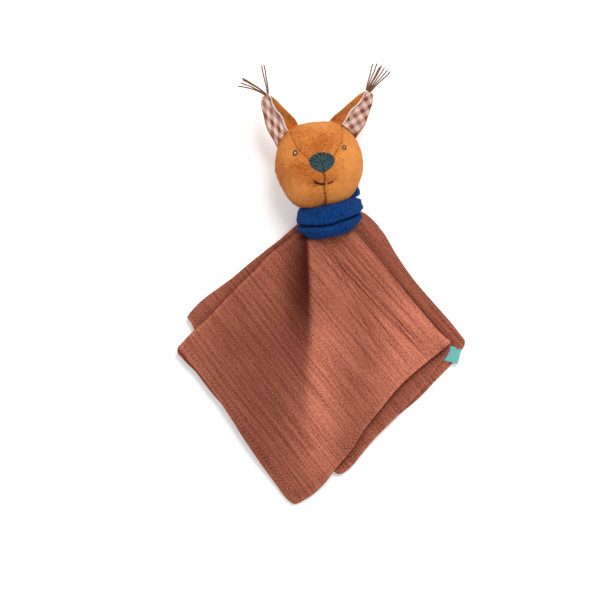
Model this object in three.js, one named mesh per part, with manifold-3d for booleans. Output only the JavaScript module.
// Comfort blanket lovey: a soft animal head with tufted ears and a neck scarf, sewn to the
// middle of a square muslin sheet. It lies on its back with the sheet folded under itself.
// Millimetres, +Z up, +Y from the blanket's front corner to the head. The origin is on the
// flat underside of the lowest cloth layer, on the surface that the lovey lies on.

import * as THREE from 'three';
import { mergeVertices } from 'three/addons/utils/BufferGeometryUtils.js';
import Module from 'manifold-3d';

const wasm = await Module();
wasm.setup();

// Sheet
const blanketSide = 300;
const clothThickness = 1;
const layerGap = 0.4;
const cornerRound = 9;
const cutGap = 0.3;

// How the folded sheet rises to the neck
const tentHeight = 17;
const tentReach = 50;
const fanRadius = 36;
const ridgeHeight = 6;
const ridgeNarrowWidth = 5;
const ridgeWideWidth = 16;
const valleyDepth = 1.6;
const valleyOffset = 15;
const valleyWidth = 8;
const ridgeInset = 12;

// Front corner flap
const cornerHingeReach = 114;
const cornerHingeGap = 0.6;
const cornerDrop = 5.5;

// Neck
const neckX = 3.5;
const neckY = 44;
const neckWidth = 22;
const neckDepth = 18;
const neckRise = 16;
const neckTilt = THREE.MathUtils.degToRad(9);
const gatherThread = 1;
const gatherThreadRise = 5;
const neckLean = 2.5;

// Scarf
const scarfWidth = 48;
const scarfDepth = 46;
const scarfHeight = 22;
const scarfRise = 6;
const scarfShift = 2.2;
const scarfRest = 1.5;
const scarfCrease = 3.2;
const scarfSag = 3.5;
const scarfBackRise = 12;
const scarfBackFlare = 7;
const headTurnClearance = 0.5;
const headTurnLimit = THREE.MathUtils.degToRad(40);

// Head
const headWidth = 65;
const headHeight = 66;
const headDepth = 56;
const headRest = 0.3;
const headTilt = THREE.MathUtils.degToRad(6.6);
const headYaw = THREE.MathUtils.degToRad(4);
const muzzleLift = 3;
const muzzleWidth = 14;
const velourThickness = 1.5;
const seamGap = 0.3;
const neckOpeningDepth = 2.6;
const gussetCrownHalf = 20;
const gussetNoseHalf = 7.5;
const gussetNoseRise = 2;
const gussetBend = 13;
const gussetNapeHalf = 7;

// Embroidery
const noseWidth = 19;
const noseHeight = 15;
const noseLift = 1.3;
const eyeWidth = 4.6;
const eyeHeight = 3.6;
const eyeSpacing = 37;
const eyeRise = 9.5;
const mouthStitchLength = 8;
const mouthStitchWidth = 0.9;
const mouthDrop = 16;
const stitchLift = 0.7;

// Ears
const earLength = 32;
const earBaseWidth = 23;
const earTipWidth = 4.5;
const earPlaceAngle = THREE.MathUtils.degToRad(41);
const earLeftLean = THREE.MathUtils.degToRad(22);
const earRightLean = THREE.MathUtils.degToRad(1);
const earCup = 4.5;
const earSetBack = 2;
const earFlexGap = 0.9;
const liningThickness = 0.6;
const liningMargin = 1;
const liningGap = 0.5;

// Tufts
const tuftLength = 21;
const tuftThread = 0.6;
const tuftPitch = 0.65;

// Woven tag
const tagWidth = 11.3;
const tagTopWidth = 6.8;
const tagHeight = 11.7;
const tagThickness = 0.5;
const tagTurn = THREE.MathUtils.degToRad(-14);

// The neck point carries the sheet, the scarf and the head
const blanketHalf = blanketSide / 2;
const neckZ = scarfDepth / 2 + scarfRest;
const neck = new THREE.Vector3(neckX, neckY, neckZ);
const overrun = blanketSide;

// Levels of the folded cloth, counted from the floor, and the plan places of each layer's
// edges as shares of half the sheet's side, measured from the neck point
const level = { back: 0, third: 1, second: 2, lowerPleat: 3, upperPleat: 4, front: 5 };
const rightFrontShares = { neckRight: [0.077, -0.025], right: [0.59, -0.606] };
const rightRearShares = { neckRight: [0.161, 0.06], right: [0.689, -0.591] };
const leftFrontShares = { neckLeft: [-0.123, -0.013], left: [-0.735, -0.601] };
const leftRearShares = { neckLeft: [-0.15, -0.023], left: [-0.686, -0.459] };
const leftInnerShares = { neckLeft: [-0.1, -0.01], left: [-0.59, -0.493] };
const pleatShares = { neckRight: [-0.1, -0.04], right: [-0.503, -0.893] };
const layerShares = {
  front: { ...leftFrontShares, corner: [-0.183, -1.38], ...rightFrontShares },
  second: { ...leftInnerShares, corner: [0.05, -1.24], ...rightFrontShares },
  third: { ...leftInnerShares, corner: [-0.023, -1.093], ...rightRearShares },
  back: { ...leftRearShares, corner: [-0.057, -1.247], ...rightRearShares },
  lowerPleat: { ...leftRearShares, ...pleatShares },
  upperPleat: { ...leftFrontShares, ...pleatShares },
};

// Turns a closed geometry into a solid for joining and cutting, and back again
function toSolid(geometry) {
  const plain = geometry.clone();
  plain.deleteAttribute('normal');
  plain.deleteAttribute('uv');
  const merged = mergeVertices(plain);
  return new wasm.Manifold(new wasm.Mesh({
    numProp: 3,
    vertProperties: new Float32Array(merged.attributes.position.array),
    triVerts: new Uint32Array(merged.index.array),
  }));
}

function toGeometry(solid) {
  const mesh = solid.getMesh();
  const geometry = new THREE.BufferGeometry();
  const positions = new Float32Array(mesh.numVert * 3);
  for (let i = 0; i < mesh.numVert; i += 1) {
    for (let axis = 0; axis < 3; axis += 1) {
      positions[i * 3 + axis] = mesh.vertProperties[i * mesh.numProp + axis];
    }
  }
  geometry.setAttribute('position', new THREE.BufferAttribute(positions, 3));
  geometry.setIndex(new THREE.BufferAttribute(new Uint32Array(mesh.triVerts), 1));
  geometry.computeVertexNormals();
  return geometry;
}

// A closed geometry over a grid of points: rows and columns may each close on themselves,
// and rows that don't close get a flat cap
function gridGeometry(rows, closedRows) {
  const rowCount = rows.length;
  const columnCount = rows[0].length;
  const positions = [];
  rows.forEach((row) => row.forEach((point) => positions.push(point.x, point.y, point.z)));
  const index = [];
  const last = closedRows ? rowCount : rowCount - 1;
  for (let i = 0; i < last; i += 1) {
    const next = (i + 1) % rowCount;
    for (let j = 0; j < columnCount; j += 1) {
      const right = (j + 1) % columnCount;
      const a = i * columnCount + j;
      const b = i * columnCount + right;
      const c = next * columnCount + right;
      const d = next * columnCount + j;
      index.push(a, b, c, a, c, d);
    }
  }
  if (!closedRows) {
    const half = Math.floor(columnCount / 2);
    for (let j = 0; j < half - 1; j += 1) {
      const low = j;
      const high = columnCount - 1 - j;
      const end = (rowCount - 1) * columnCount;
      index.push(low, high, high - 1, low, high - 1, low + 1);
      index.push(end + low, end + high - 1, end + high, end + low, end + low + 1, end + high - 1);
    }
  }
  const geometry = new THREE.BufferGeometry();
  geometry.setAttribute('position', new THREE.Float32BufferAttribute(positions, 3));
  geometry.setIndex(index);
  geometry.computeVertexNormals();
  return geometry;
}

// Mirrored geometry has its faces turned round again
function flipFaces(geometry) {
  const merged = mergeVertices(geometry);
  geometry.copy(merged);
  const index = geometry.index.array;
  for (let i = 0; i < index.length; i += 3) {
    [index[i + 1], index[i + 2]] = [index[i + 2], index[i + 1]];
  }
}

// A closed geometry points its faces outwards when its signed volume is positive
function outward(geometry) {
  const position = geometry.attributes.position;
  const corners = [new THREE.Vector3(), new THREE.Vector3(), new THREE.Vector3()];
  const index = geometry.index.array;
  let volume = 0;
  for (let i = 0; i < index.length; i += 3) {
    corners.forEach((corner, j) => corner.fromBufferAttribute(position, index[i + j]));
    volume += corners[0].dot(corners[1].clone().cross(corners[2]));
  }
  if (volume < 0) {
    flipFaces(geometry);
    geometry.computeVertexNormals();
  }
  return geometry;
}

// Cloth of one thickness over a sheet of points given as rows from the neck to the hem
function clothGeometry(sheet) {
  const normals = sheet.map((row, i) => row.map((point, j) => {
    const before = sheet[Math.max(i - 1, 0)][j];
    const after = sheet[Math.min(i + 1, sheet.length - 1)][j];
    const left = row[Math.max(j - 1, 0)];
    const right = row[Math.min(j + 1, row.length - 1)];
    const along = after.clone().sub(before);
    return right.clone().sub(left).cross(along).normalize();
  }));
  const half = clothThickness / 2;
  const rows = sheet.map((row, i) => {
    const upper = row.map((point, j) => point.clone().addScaledVector(normals[i][j], half));
    const lower = row.map((point, j) => point.clone().addScaledVector(normals[i][j], -half));
    return upper.concat(lower.reverse());
  });
  return outward(gridGeometry(rows, false));
}

function piece(name, geometry, color, roughness) {
  const material = new THREE.MeshStandardMaterial({ color, roughness, metalness: 0 });
  const mesh = new THREE.Mesh(geometry, material);
  mesh.name = name;
  return mesh;
}

const velourColor = 0xcd7d32;
const gauzeColor = 0xaa5a4b;
const scarfColor = 0x14469a;
const noseColor = 0x375a69;
const threadColor = 0x825a41;
const liningColor = 0xd8b8a8;
const tagColor = 0x82cdc3;
const fillingColor = 0xf0ece4;
const softRoughness = 0.95;
const threadRoughness = 0.7;

// Plan place from a pair of shares
function planPoint(shares) {
  return new THREE.Vector2(neck.x + shares[0] * blanketHalf, neck.y + shares[1] * blanketHalf);
}

function levelHeight(k) {
  return clothThickness / 2 + k * (clothThickness + layerGap);
}

// Height of a cloth level over a plan point: flat on the floor side, tented at the neck side
function clothHeight(k, x, y) {
  const reach = Math.hypot(x - neck.x, y - neck.y);
  const tent = tentHeight * (k / level.front) * Math.exp(-((reach / tentReach) ** 2));
  return levelHeight(k) + tent;
}

// The front layer adds the pleat ridge that runs down from the scarf, with a valley on its
// left, and its free corner droops towards the floor
const cornerHingeY = neck.y - cornerHingeReach;
const ridgeDriftShare = 0.04;
const droopStartShare = 1;
const droopEndShare = 1.4;

function frontHeight(x, y) {
  const down = neck.y - y;
  const fade = 1 - THREE.MathUtils.smoothstep(down, fanRadius, cornerHingeReach - valleyWidth);
  const across = x - (neck.x - ridgeInset + down * ridgeDriftShare);
  const width = across < 0 ? ridgeNarrowWidth : ridgeWideWidth;
  const ridge = ridgeHeight * Math.exp(-((across / width) ** 2));
  const valley = valleyDepth * Math.exp(-(((across + valleyOffset) / valleyWidth) ** 2));
  const droop = THREE.MathUtils.smoothstep(down, droopStartShare * blanketHalf, droopEndShare * blanketHalf);
  return clothHeight(level.front, x, y) + fade * (ridge - valley) - droop * cornerDrop;
}

// Points along a hem from the left fold round the sheet's corner to the right fold
function hemPoints(left, corner, right, straightCount, arcCount) {
  const before = corner.clone().lerp(left, cornerRound / corner.distanceTo(left));
  const after = corner.clone().lerp(right, cornerRound / corner.distanceTo(right));
  const arc = new THREE.QuadraticBezierCurve(before, corner, after);
  const points = [];
  for (let i = 0; i < straightCount; i += 1) {
    points.push(left.clone().lerp(before, i / straightCount));
  }
  for (let i = 0; i <= arcCount; i += 1) {
    points.push(arc.getPoint(i / arcCount));
  }
  for (let i = 1; i <= straightCount; i += 1) {
    points.push(after.clone().lerp(right, i / straightCount));
  }
  return points;
}

// A layer's columns: each runs from the neck line to the hem at one level of the fold
const layerColumns = 5;
const cornerSteps = 3;
const pleatStepShares = [0, 1 / 3, 2 / 3, 1];

function layerColumnList(name) {
  const shares = layerShares[name];
  const left = planPoint(shares.left);
  const right = planPoint(shares.right);
  const neckLeft = planPoint(shares.neckLeft);
  const neckRight = planPoint(shares.neckRight);
  const hems = shares.corner
    ? hemPoints(left, planPoint(shares.corner), right, layerColumns, cornerSteps)
    : pleatStepShares.map((share) => left.clone().lerp(right, share));
  return hems.map((hem, i) => ({
    start: neckLeft.clone().lerp(neckRight, i / (hems.length - 1)),
    hem,
    level: level[name],
  }));
}

// The columns of a fold: a half turn between two levels, bulging away from the layers
const foldSteps = 4;

function foldColumnList(edge, fromLevel, toLevel, side) {
  const middle = (fromLevel + toLevel) / 2;
  const half = (fromLevel - toLevel) / 2;
  const bulge = Math.abs(half) * (clothThickness + layerGap);
  const columns = [];
  for (let i = 1; i < foldSteps; i += 1) {
    const angle = Math.PI * (0.5 - i / foldSteps);
    const shift = new THREE.Vector2(side * bulge * Math.cos(angle), 0);
    columns.push({
      start: edge.start.clone().add(shift),
      hem: edge.hem.clone().add(shift),
      level: middle + half * Math.sin(angle),
    });
  }
  return columns;
}

const sheetRows = 8;
const sheetStartShare = 0.1;

// A sheet of points over columns, with its heights from the given rule
function sheetOf(columns, heightOf) {
  const rows = [];
  for (let i = 0; i <= sheetRows; i += 1) {
    const v = THREE.MathUtils.lerp(sheetStartShare, 1, i / sheetRows);
    rows.push(columns.map((column) => {
      const plan = column.start.clone().lerp(column.hem, v);
      return new THREE.Vector3(plan.x, plan.y, heightOf(column.level, plan.x, plan.y));
    }));
  }
  return rows;
}

// The round zone at the neck where the sheet is bunched
function neckZone(radius) {
  const zone = new THREE.CylinderGeometry(radius, radius, overrun, 48);
  zone.rotateX(Math.PI / 2);
  zone.translate(neck.x, neck.y, 0);
  return toSolid(zone);
}

function boxBetween(low, high) {
  const size = high.clone().sub(low);
  const box = new THREE.BoxGeometry(size.x, size.y, size.z);
  const centre = low.clone().add(high).multiplyScalar(0.5);
  box.translate(centre.x, centre.y, centre.z);
  return toSolid(box);
}

function buildFrontLayer() {
  const columns = layerColumnList('front');
  const inset = clothThickness + layerGap;
  columns[0].start.x += inset;
  columns[0].hem.x += inset;
  const lastColumn = columns[columns.length - 1];
  const foldInset = (inset * (level.front - level.second)) / 2;
  lastColumn.start.x -= foldInset;
  lastColumn.hem.x -= foldInset;
  const cloth = toSolid(clothGeometry(sheetOf(columns, (k, x, y) => frontHeight(x, y))));
  const trimmed = cloth.subtract(neckZone(fanRadius + cutGap));
  const halfGap = cornerHingeGap / 2;
  const above = boxBetween(
    new THREE.Vector3(-overrun, cornerHingeY + halfGap, -overrun),
    new THREE.Vector3(overrun, overrun, overrun),
  );
  const below = boxBetween(
    new THREE.Vector3(-overrun, -overrun, -overrun),
    new THREE.Vector3(overrun, cornerHingeY - halfGap, overrun),
  );
  return { panel: toGeometry(trimmed.intersect(above)), corner: toGeometry(trimmed.intersect(below)) };
}

// The rest of the sheet is one band: from the front's right fold under to the second layer,
// back and forth through the third and the back layer, and up the pleat at the left
function buildRearFolds() {
  const second = layerColumnList('second').reverse();
  const third = layerColumnList('third');
  const back = layerColumnList('back').reverse();
  const lowerPleat = layerColumnList('lowerPleat');
  const upperPleat = layerColumnList('upperPleat').reverse();
  const pitch = clothThickness + layerGap;
  const shiftEnd = (columns, index, amount) => {
    const column = columns.at(index);
    column.start.x += amount;
    column.hem.x += amount;
    return column;
  };
  const rightBulge = (pitch * (level.front - level.second)) / 2;
  const wrapBulge = (pitch * (level.lowerPleat - level.back)) / 2;
  const halfPitch = pitch / 2;
  shiftEnd(second, 0, -rightBulge);
  shiftEnd(third, -1, -halfPitch);
  shiftEnd(back, 0, -halfPitch);
  shiftEnd(second, -1, halfPitch);
  shiftEnd(third, 0, halfPitch);
  shiftEnd(back, -1, wrapBulge);
  shiftEnd(lowerPleat, 0, wrapBulge);
  shiftEnd(lowerPleat, -1, -halfPitch);
  shiftEnd(upperPleat, 0, -halfPitch);
  shiftEnd(upperPleat, -1, halfPitch);
  const columns = [
    ...foldColumnList(second[0], level.front, level.second, 1),
    ...second,
    ...foldColumnList(second.at(-1), level.second, level.third, -1),
    ...third,
    ...foldColumnList(third.at(-1), level.third, level.back, 1),
    ...back,
    ...foldColumnList(back.at(-1), level.back, level.lowerPleat, -1),
    ...lowerPleat,
    ...foldColumnList(lowerPleat.at(-1), level.lowerPleat, level.upperPleat, 1),
    ...upperPleat,
    ...foldColumnList(upperPleat.at(-1), level.upperPleat, level.front, -1),
  ];
  const cloth = toSolid(clothGeometry(sheetOf(columns, clothHeight)));
  return toGeometry(cloth.subtract(neckZone(fanRadius + cutGap)));
}

// The bunched cloth between the flat layers and the head: sections across the neck direction,
// each with its distance below the neck point, centre height, half width and half height
const gatherShares = [
  { down: 0.1, height: 0.98, width: 0.5, depth: 0.5, shift: 0 },
  { down: 0.28, height: 0.86, width: 0.8, depth: 0.6, shift: 0.04 },
  { down: 0.42, height: 0.72, width: 1.4, depth: 0.66, shift: 0.08 },
  { down: 0.7, height: 0.55, width: 2, depth: 0.62, shift: 0.1 },
  { down: 1.05, height: 0.39, width: 2.7, depth: 0.5, shift: 0.1 },
];
const gatherSides = 20;

function gatherRow(centre, halfWidth, halfDepth, tilt) {
  const row = [];
  for (let i = 0; i < gatherSides; i += 1) {
    const angle = (i / gatherSides) * Math.PI * 2;
    const across = halfWidth * Math.cos(angle);
    row.push(new THREE.Vector3(
      centre.x + across * Math.cos(tilt),
      centre.y + across * Math.sin(tilt),
      Math.max(centre.z + halfDepth * Math.sin(angle), seamGap),
    ));
  }
  return row;
}

function buildNeckGather() {
  const top = new THREE.Vector3(
    neck.x - Math.sin(neckTilt) * (neckRise - seamGap),
    neck.y + Math.cos(neckTilt) * (neckRise - seamGap),
    neck.z + neckLean,
  );
  const rows = [gatherRow(top, neckWidth / 2, neckDepth / 2, headTilt)];
  gatherShares.forEach((share) => {
    const centre = new THREE.Vector3(
      neck.x + share.shift * fanRadius,
      neck.y - share.down * fanRadius,
      neck.z * share.height,
    );
    rows.push(gatherRow(centre, share.width * neckWidth, share.depth * neckDepth, 0));
  });
  const fan = toSolid(outward(gridGeometry(rows, false)));
  return toGeometry(fan.intersect(neckZone(fanRadius)));
}

// Head surface: a slightly tall ball, narrower at the chin, with a soft muzzle in front
const chinNarrowShare = 0.1;
const muzzleDropShare = 0.12;
const chinRoundPower = 4;

function headPoint(direction, offset) {
  const chin = Math.max(0, -direction.y);
  const narrowing = 1 - chinNarrowShare * chin * chin;
  const x = direction.x * (headWidth / 2 + offset) * narrowing;
  const y = direction.y * (headHeight / 2 + offset);
  const chinWidth = headWidth * (1 - chinNarrowShare);
  const roundness = THREE.MathUtils.lerp(headDepth, chinWidth, chin ** chinRoundPower);
  let z = direction.z * (roundness / 2 + offset);
  if (direction.z > 0) {
    const fromMuzzle = Math.hypot(x, y + muzzleDropShare * headHeight);
    z += direction.z * muzzleLift * Math.exp(-((fromMuzzle / muzzleWidth) ** 2));
  }
  return new THREE.Vector3(x, y, z);
}

function headGeometry(offset, around, along) {
  const geometry = new THREE.SphereGeometry(1, around, along);
  const position = geometry.attributes.position;
  const point = new THREE.Vector3();
  for (let i = 0; i < position.count; i += 1) {
    point.fromBufferAttribute(position, i);
    position.setXYZ(i, ...headPoint(point, offset).toArray());
  }
  geometry.deleteAttribute('uv');
  geometry.deleteAttribute('normal');
  return mergeVertices(geometry);
}

// An outline in the face's own plane, pushed through the front of the head
function throughFace(shape, front) {
  const options = { depth: headDepth, bevelEnabled: false, curveSegments: 10 };
  const prism = new THREE.ExtrudeGeometry(shape, options);
  if (!front) {
    prism.translate(0, 0, -headDepth);
  }
  return toSolid(prism);
}

// The gusset's outline: from the nose, out past the eyes to the ears, over the crown in front,
// and from the crown down to the nape behind
function gussetSolid(grow) {
  const top = headHeight;
  const front = new THREE.Shape();
  front.moveTo(-gussetNoseHalf - grow, gussetNoseRise - grow);
  front.quadraticCurveTo(-gussetCrownHalf - grow, gussetBend, -gussetCrownHalf - grow, headHeight / 3);
  front.lineTo(-gussetCrownHalf - grow, top);
  front.lineTo(gussetCrownHalf + grow, top);
  front.lineTo(gussetCrownHalf + grow, headHeight / 3);
  front.quadraticCurveTo(gussetCrownHalf + grow, gussetBend, gussetNoseHalf + grow, gussetNoseRise - grow);
  front.closePath();
  const rear = new THREE.Shape();
  rear.moveTo(-gussetNapeHalf - grow, -top);
  rear.quadraticCurveTo(-gussetCrownHalf - grow, 0, -gussetCrownHalf - grow, headHeight / 3);
  rear.lineTo(-gussetCrownHalf - grow, top);
  rear.lineTo(gussetCrownHalf + grow, top);
  rear.lineTo(gussetCrownHalf + grow, headHeight / 3);
  rear.quadraticCurveTo(gussetCrownHalf + grow, 0, gussetNapeHalf + grow, -top);
  rear.closePath();
  return throughFace(front, true).add(throughFace(rear, false));
}

const headAround = 32;
const headAlong = 18;
const fillingAround = 20;
const fillingAlong = 12;

function buildHead() {
  const below = boxBetween(
    new THREE.Vector3(-overrun, -overrun, -overrun),
    new THREE.Vector3(overrun, neckOpeningDepth - headHeight / 2, overrun),
  );
  const outer = toSolid(headGeometry(0, headAround, headAlong));
  const inner = toSolid(headGeometry(-velourThickness, headAround, headAlong));
  const shell = outer.subtract(inner).subtract(below);
  const core = headGeometry(-velourThickness - seamGap, fillingAround, fillingAlong);
  const filling = toSolid(core).subtract(below);
  const sides = shell.subtract(gussetSolid(seamGap));
  const half = seamGap / 2;
  const left = boxBetween(
    new THREE.Vector3(-overrun, -overrun, -overrun),
    new THREE.Vector3(-half, overrun, overrun),
  );
  const right = boxBetween(
    new THREE.Vector3(half, -overrun, -overrun),
    new THREE.Vector3(overrun, overrun, overrun),
  );
  return {
    gusset: toGeometry(shell.intersect(gussetSolid(0))),
    left: toGeometry(sides.intersect(left)),
    right: toGeometry(sides.intersect(right)),
    filling: toGeometry(filling),
  };
}

// Thread work lies on the face as a thin raised patch of the given outline
function embroidery(shape, lift) {
  const outer = toSolid(headGeometry(seamGap + lift, headAround, headAlong));
  const inner = toSolid(headGeometry(seamGap, headAround, headAlong));
  return toGeometry(outer.subtract(inner).intersect(throughFace(shape, true)));
}

// The nose: wide and flat on top, drawn in to a blunt point below
const noseCheekShare = 0.18;
const noseTipShare = 0.22;

function noseShape() {
  const half = noseWidth / 2;
  const top = noseHeight / 2;
  const shape = new THREE.Shape();
  shape.moveTo(-half, noseHeight * noseCheekShare);
  shape.bezierCurveTo(-half, top, -half / 2, top, 0, top);
  shape.bezierCurveTo(half / 2, top, half, top, half, noseHeight * noseCheekShare);
  shape.bezierCurveTo(half, -noseHeight * noseTipShare, half / 2, -top, 0, -top);
  const cheek = noseHeight * noseCheekShare;
  shape.bezierCurveTo(-half / 2, -top, -half, -noseHeight * noseTipShare, -half, cheek);
  return shape;
}

function eyeShape(side) {
  const shape = new THREE.Shape();
  shape.absellipse(side * eyeSpacing / 2, eyeRise, eyeWidth / 2, eyeHeight / 2, 0, Math.PI * 2);
  return shape;
}

// A mouth stitch runs from the chin seam up towards the cheek
const mouthRiseShare = 0.35;
const mouthBendShare = 0.2;

function mouthShape(side) {
  const inner = seamGap + mouthStitchWidth / 2;
  const rise = mouthStitchLength * mouthRiseShare;
  const half = mouthStitchWidth / 2;
  const points = [
    [inner, -mouthDrop - half],
    [inner + mouthStitchLength / 2, -mouthDrop + rise * mouthBendShare - half],
    [inner + mouthStitchLength, -mouthDrop + rise - half],
    [inner + mouthStitchLength, -mouthDrop + rise + half],
    [inner + mouthStitchLength / 2, -mouthDrop + rise * mouthBendShare + half],
    [inner, -mouthDrop + half],
  ].map(([x, y]) => new THREE.Vector2(side * x, y));
  return new THREE.Shape(side > 0 ? points : points.reverse());
}

// An ear in its own frame: the origin on the head's surface, +Y straight out from the head,
// +X to the animal's side. The share s runs from the base to the tip, t across to the side edge
const earPlaceRadius = (headWidth + headHeight) / 4;
const earSteps = 9;
const earAcross = 8;
const liningInnerShare = -0.2;
const earBaseFullness = 1.5;
const earTipFullness = 0.8;
const earCupFullness = 0.7;
const earTurnEndShare = 0.6;

function earPoint(side, lean, s, t, lift) {
  const baseHalf = earBaseWidth / 2;
  const taper = (1 - s ** earBaseFullness) ** earTipFullness;
  const halfWidth = THREE.MathUtils.lerp(earTipWidth / 2, baseHalf, taper);
  const turn = lean * THREE.MathUtils.smoothstep(s, 0, earTurnEndShare);
  const centre = new THREE.Vector2(-Math.sin(lean), Math.cos(lean)).multiplyScalar(earLength * s);
  const across = new THREE.Vector2(Math.cos(turn), Math.sin(turn)).multiplyScalar(t * halfWidth);
  const round = earPlaceRadius - Math.sqrt(earPlaceRadius ** 2 - (t * halfWidth) ** 2);
  const x = centre.x + across.x;
  const y = centre.y + across.y - round * (1 - s) ** 2 + earFlexGap;
  const z = earCup * Math.sin(Math.PI * s ** earCupFullness) * t * t + lift;
  return new THREE.Vector3(side * x, y, z);
}

function earLeaf(side, lean, range, low, high) {
  const rows = [];
  for (let i = 0; i <= earSteps; i += 1) {
    const s = THREE.MathUtils.lerp(range.start, range.end, i / earSteps);
    const upper = [];
    const lower = [];
    for (let j = 0; j <= earAcross; j += 1) {
      const t = THREE.MathUtils.lerp(range.inner, range.outer, j / earAcross);
      upper.push(earPoint(side, lean, s, t, high));
      lower.push(earPoint(side, lean, s, t, low));
    }
    rows.push(upper.concat(lower.reverse()));
  }
  return outward(gridGeometry(rows, false));
}

// Tuft threads leave the ear tip in a fan. Each bends from its first angle to its last, both
// from the ear's straight outward direction and positive to the animal's side
const tuftFans = {
  left: [[-40, -36], [-30, -30], [-6, 16], [0, 26], [4, 34], [10, 40]],
  right: [[-14, -20], [-10, -15], [-8, -9], [-4, -5], [0, 0], [2, 6], [4, 12]],
};
const tuftSteps = 5;
const tuftSides = 8;

function tuftThreadGeometry(base, firstAngle, lastAngle) {
  const half = tuftLength / 2;
  const firstWay = new THREE.Vector3(Math.sin(firstAngle), Math.cos(firstAngle), 0);
  const lastWay = new THREE.Vector3(Math.sin(lastAngle), Math.cos(lastAngle), 0);
  const middle = base.clone().addScaledVector(firstWay, half);
  const end = middle.clone().addScaledVector(lastWay, half);
  const corners = [];
  for (let i = 0; i < tuftSides; i += 1) {
    const angle = (i / tuftSides) * Math.PI * 2;
    corners.push(new THREE.Vector2(Math.cos(angle), Math.sin(angle)).multiplyScalar(tuftThread / 2));
  }
  return new THREE.ExtrudeGeometry(new THREE.Shape(corners), {
    steps: tuftSteps,
    bevelEnabled: false,
    extrudePath: new THREE.QuadraticBezierCurve3(base, middle, end),
  });
}

function buildTuft(name, side, lean) {
  const tuft = new THREE.Group();
  const fan = tuftFans[name];
  fan.forEach(([first, last], i) => {
    const across = (i - (fan.length - 1) / 2) * tuftPitch;
    const base = new THREE.Vector3(
      -Math.sin(lean) * (earLength + seamGap) + Math.cos(lean) * across,
      Math.cos(lean) * (earLength + seamGap) + Math.sin(lean) * across + earFlexGap,
      (i % 2) * 2 * tuftPitch - velourThickness,
    );
    const bend = [first, last].map((angle) => THREE.MathUtils.degToRad(angle));
    const geometry = tuftThreadGeometry(base, bend[0], bend[1]);
    if (side < 0) {
      geometry.scale(-1, 1, 1);
      flipFaces(geometry);
    }
    tuft.add(piece(`${name}_tuft_thread_${i + 1}`, geometry, threadColor, threadRoughness));
  });
  return tuft;
}

function buildEar(name, side, lean) {
  const ear = new THREE.Group();
  const backLow = -velourThickness;
  const liningLow = liningGap;
  const marginShare = liningMargin / (earBaseWidth / 2);
  const back = { start: 0, end: 1, inner: -1, outer: 1 };
  const lining = {
    start: 0,
    end: 1 - liningMargin / earLength,
    inner: liningInnerShare,
    outer: 1 - marginShare,
  };
  ear.add(piece(`${name}_ear_back`, earLeaf(side, lean, back, backLow, 0), velourColor, softRoughness));
  ear.add(piece(
    `${name}_ear_lining`,
    earLeaf(side, lean, lining, liningLow, liningLow + liningThickness),
    liningColor,
    softRoughness,
  ));
  ear.add(buildTuft(name, side, lean));
  return ear;
}

// The scarf: a soft ring round the neck with a folded lower roll, a crease above it, a front
// that sags and a back edge that stands up behind the head on the right
const scarfAround = 28;
const scarfProfile = 12;
const creaseHeightShare = -0.2;
const creaseWidthShare = 0.28;
const scarfSideFullness = 0.7;
const scarfEdgeFullness = 0.8;
const backRiseAngle = THREE.MathUtils.degToRad(120);
const backRiseSpread = THREE.MathUtils.degToRad(34);

function scarfGeometry() {
  const holeHalfWidth = neckWidth / 2 + gatherThread + 3 * seamGap;
  const holeHalfDepth = neckDepth / 2 + gatherThread + 3 * seamGap;
  const rows = [];
  for (let i = 0; i < scarfAround; i += 1) {
    const around = (i / scarfAround) * Math.PI * 2;
    const frontShare = Math.cos(around);
    const sideShare = Math.sin(around);
    let away = Math.abs(around - backRiseAngle);
    away = Math.min(away, Math.PI * 2 - away);
    const stand = Math.exp(-((away / backRiseSpread) ** 2));
    const row = [];
    for (let j = 0; j < scarfProfile; j += 1) {
      const turn = (j / scarfProfile) * Math.PI * 2;
      const outwardShare = Math.sign(Math.cos(turn)) * Math.abs(Math.cos(turn)) ** scarfSideFullness;
      const upShare = Math.sign(Math.sin(turn)) * Math.abs(Math.sin(turn)) ** scarfEdgeFullness;
      const crease = Math.cos(turn) > 0
        ? scarfCrease * Math.exp(-(((upShare - creaseHeightShare) / creaseWidthShare) ** 2))
        : 0;
      const flare = Math.max(0, upShare) * stand * scarfBackFlare;
      const thickness = (1 + outwardShare) / 2;
      const radiusX = THREE.MathUtils.lerp(holeHalfWidth, scarfWidth / 2, thickness) - crease + flare;
      const radiusZ = THREE.MathUtils.lerp(holeHalfDepth, scarfDepth / 2, thickness) - crease;
      const sag = upShare < 0 ? scarfSag * Math.max(0, frontShare) * -upShare : 0;
      const y = upShare * scarfHeight / 2 - sag + Math.max(0, upShare) * stand * scarfBackRise;
      row.push(new THREE.Vector3(
        radiusX * sideShare + scarfShift * thickness,
        y,
        radiusZ * frontShare + (neckLean / 2) * (1 - thickness),
      ));
    }
    rows.push(row);
  }
  return outward(gridGeometry(rows, true));
}

const tieSteps = 20;
const tieSides = 6;

function gatherThreadGeometry() {
  const clearance = 1.5 * seamGap + gatherThread / 2;
  const rows = [];
  for (let i = 0; i < tieSteps; i += 1) {
    const around = (i / tieSteps) * Math.PI * 2;
    const row = [];
    for (let j = 0; j < tieSides; j += 1) {
      const turn = (j / tieSides) * Math.PI * 2;
      const reach = clearance + Math.cos(turn) * gatherThread / 2;
      row.push(new THREE.Vector3(
        (neckWidth / 2 + reach) * Math.sin(around),
        Math.sin(turn) * gatherThread / 2,
        (neckDepth / 2 + reach) * Math.cos(around),
      ));
    }
    rows.push(row);
  }
  return outward(gridGeometry(rows, true));
}

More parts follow.
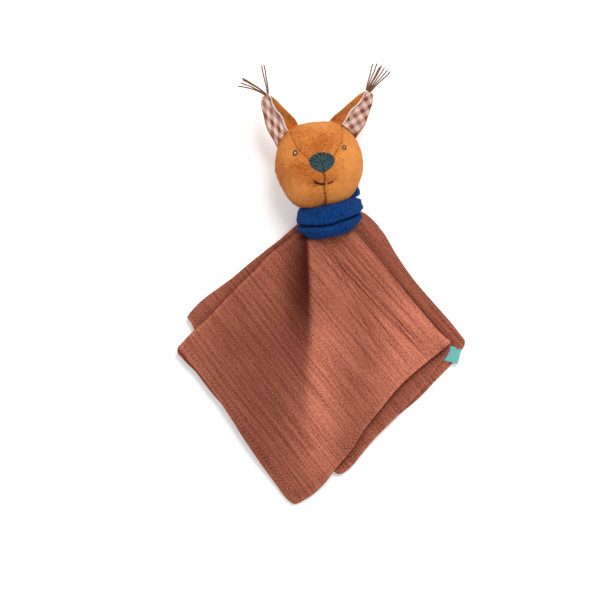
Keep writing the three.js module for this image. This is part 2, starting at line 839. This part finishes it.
// The tag: a woven strip with its slanted edge sewn under the second layer's hem
function tagGeometry() {
  const shape = new THREE.Shape();
  shape.moveTo(0, 0);
  shape.lineTo(tagWidth, 0);
  shape.lineTo(tagWidth, tagHeight);
  shape.lineTo(tagWidth - tagTopWidth, tagHeight);
  shape.closePath();
  return new THREE.ExtrudeGeometry(shape, { depth: tagThickness, bevelEnabled: false });
}

// Assembly
const lovey = new THREE.Group();

const blanket = new THREE.Group();
const frontLayer = buildFrontLayer();
blanket.add(piece('blanket_front_panel', frontLayer.panel, gauzeColor, softRoughness));
blanket.add(piece('blanket_front_corner', frontLayer.corner, gauzeColor, softRoughness));
blanket.add(piece('blanket_rear_folds', buildRearFolds(), gauzeColor, softRoughness));
blanket.add(piece('neck_gather', buildNeckGather(), gauzeColor, softRoughness));
lovey.add(blanket);

const tagPlaceShares = [0.575, -0.659];
const tagMesh = piece('woven_tag', tagGeometry(), tagColor, threadRoughness);
const tagPlace = planPoint(tagPlaceShares);
tagMesh.position.set(tagPlace.x, tagPlace.y, levelHeight(level.second) - tagThickness / 2);
tagMesh.rotation.z = tagTurn;
lovey.add(tagMesh);

const head = new THREE.Group();
const headReach = headHeight / 2 - neckOpeningDepth;
head.position.set(
  neck.x - Math.sin(neckTilt) * neckRise - Math.sin(headTilt) * headReach,
  neck.y + Math.cos(neckTilt) * neckRise + Math.cos(headTilt) * headReach,
  headDepth / 2 + headRest,
);
head.rotation.set(0, headYaw, headTilt, 'ZYX');

const headParts = buildHead();
head.add(piece('head_gusset', headParts.gusset, velourColor, softRoughness));
head.add(piece('left_cheek_panel', headParts.left, velourColor, softRoughness));
head.add(piece('right_cheek_panel', headParts.right, velourColor, softRoughness));
head.add(piece('head_filling', headParts.filling, fillingColor, softRoughness));
head.add(piece('nose_embroidery', embroidery(noseShape(), noseLift), noseColor, threadRoughness));
head.add(piece('left_eye_embroidery', embroidery(eyeShape(-1), stitchLift), threadColor, threadRoughness));
head.add(piece('right_eye_embroidery', embroidery(eyeShape(1), stitchLift), threadColor, threadRoughness));
head.add(piece('left_mouth_stitch', embroidery(mouthShape(-1), stitchLift), threadColor, threadRoughness));
head.add(piece('right_mouth_stitch', embroidery(mouthShape(1), stitchLift), threadColor, threadRoughness));

const ears = [
  { name: 'left', side: -1, lean: earLeftLean },
  { name: 'right', side: 1, lean: earRightLean },
];
ears.forEach(({ name, side, lean }) => {
  const ear = buildEar(name, side, lean);
  ear.position.set(
    side * Math.sin(earPlaceAngle) * earPlaceRadius,
    Math.cos(earPlaceAngle) * earPlaceRadius,
    -earSetBack,
  );
  ear.rotation.z = -side * earPlaceAngle;
  head.add(ear);
});
lovey.add(head);

const neckwear = new THREE.Group();
neckwear.position.copy(neck);
neckwear.rotation.z = neckTilt;
lovey.add(neckwear);
lovey.updateMatrixWorld(true);

const scarfMatrix = neckwear.matrixWorld.clone().multiply(
  new THREE.Matrix4().makeTranslation(0, scarfRise, 0),
);
const turnStepShares = [-1, -0.5, 0, 0.5, 1];
let scarfSolid = toSolid(scarfGeometry().applyMatrix4(scarfMatrix));
turnStepShares.forEach((share) => {
  const turned = headGeometry(headTurnClearance, headAround, headAlong);
  turned.rotateY(share * headTurnLimit).applyMatrix4(head.matrixWorld);
  scarfSolid = scarfSolid.subtract(toSolid(turned));
});
const scarf = piece('neck_scarf', toGeometry(scarfSolid), scarfColor, softRoughness);
scarf.geometry.applyMatrix4(neckwear.matrixWorld.clone().invert());
neckwear.add(scarf);
const tie = piece('gathering_thread', gatherThreadGeometry(), threadColor, threadRoughness);
tie.position.set(0, gatherThreadRise, (neckLean * gatherThreadRise) / neckRise);
neckwear.add(tie);

export default lovey;
